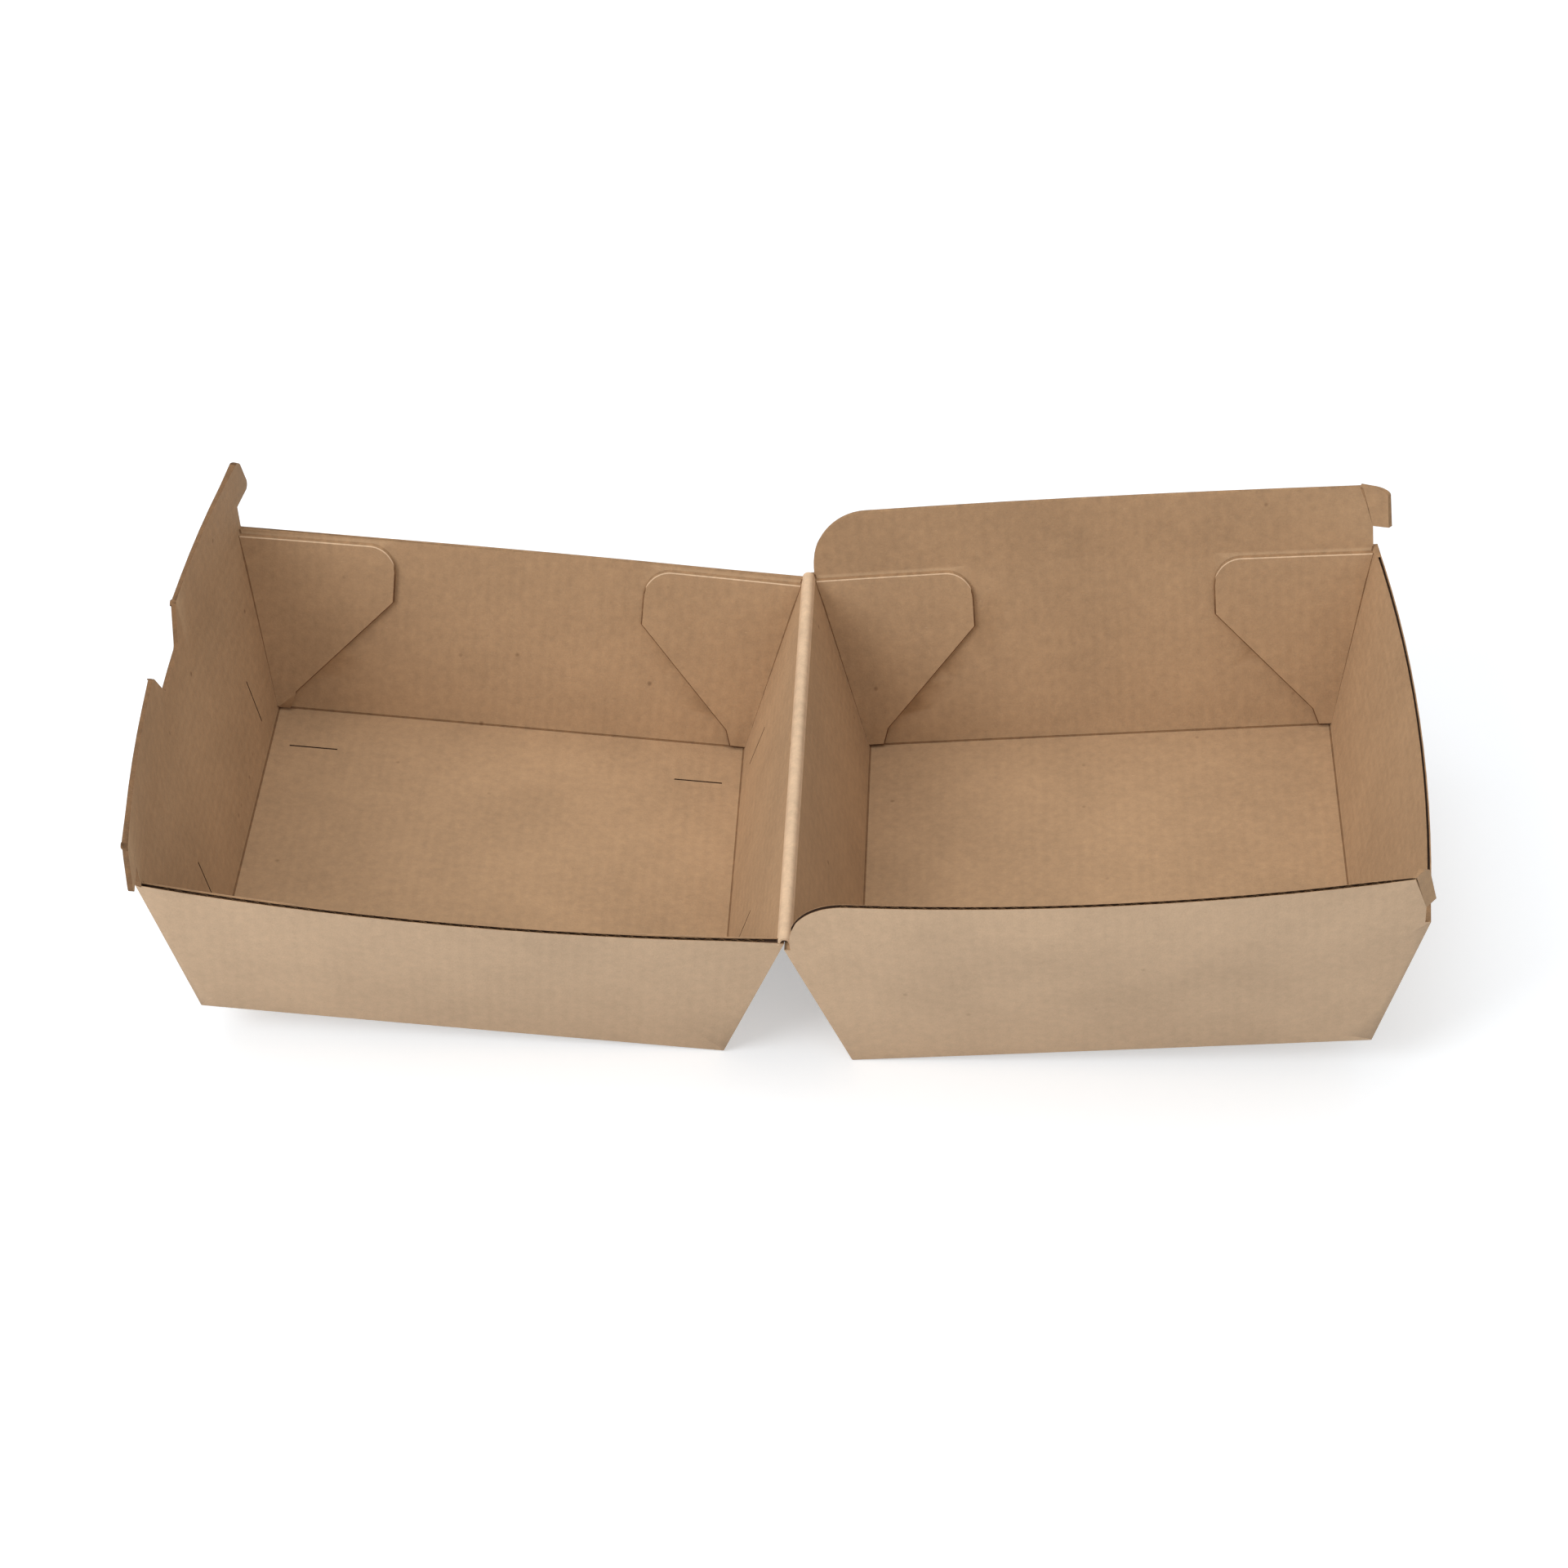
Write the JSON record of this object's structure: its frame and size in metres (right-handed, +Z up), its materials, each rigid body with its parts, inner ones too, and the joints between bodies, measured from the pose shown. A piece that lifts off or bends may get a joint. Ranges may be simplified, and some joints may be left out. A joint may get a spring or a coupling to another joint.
{
  "type": "takeaway box",
  "caption": "Folded corrugated takeaway clamshell box standing open, with a hinged lid tray, locking hooks and ears, and a thumb notch.",
  "frame": {"origin": "middle of the open box's footprint, on the surface it stands on", "axes": "+Z up, +X from the crease towards the outer end of the base, -Y towards the front, where the viewer of the picture stands"},
  "size_m": [0.2566, 0.1406, 0.0638],
  "materials": {
    "kraft_board": "matt uncoated brown kraft liner on a fine flute"
  },
  "bodies": {
    "base": {"base_tray": "kraft_board"},
    "lid": {"lid_tray": "kraft_board"}
  },
  "joints": [
    {"name": "lid_hinge", "type": "hinge", "parent": "base", "child": "lid", "pos_m": [0.00145, 0.00072, 0.03916], "axis": [0, 1, 0], "range_deg": [-9.7, 170.3]}
  ]
}
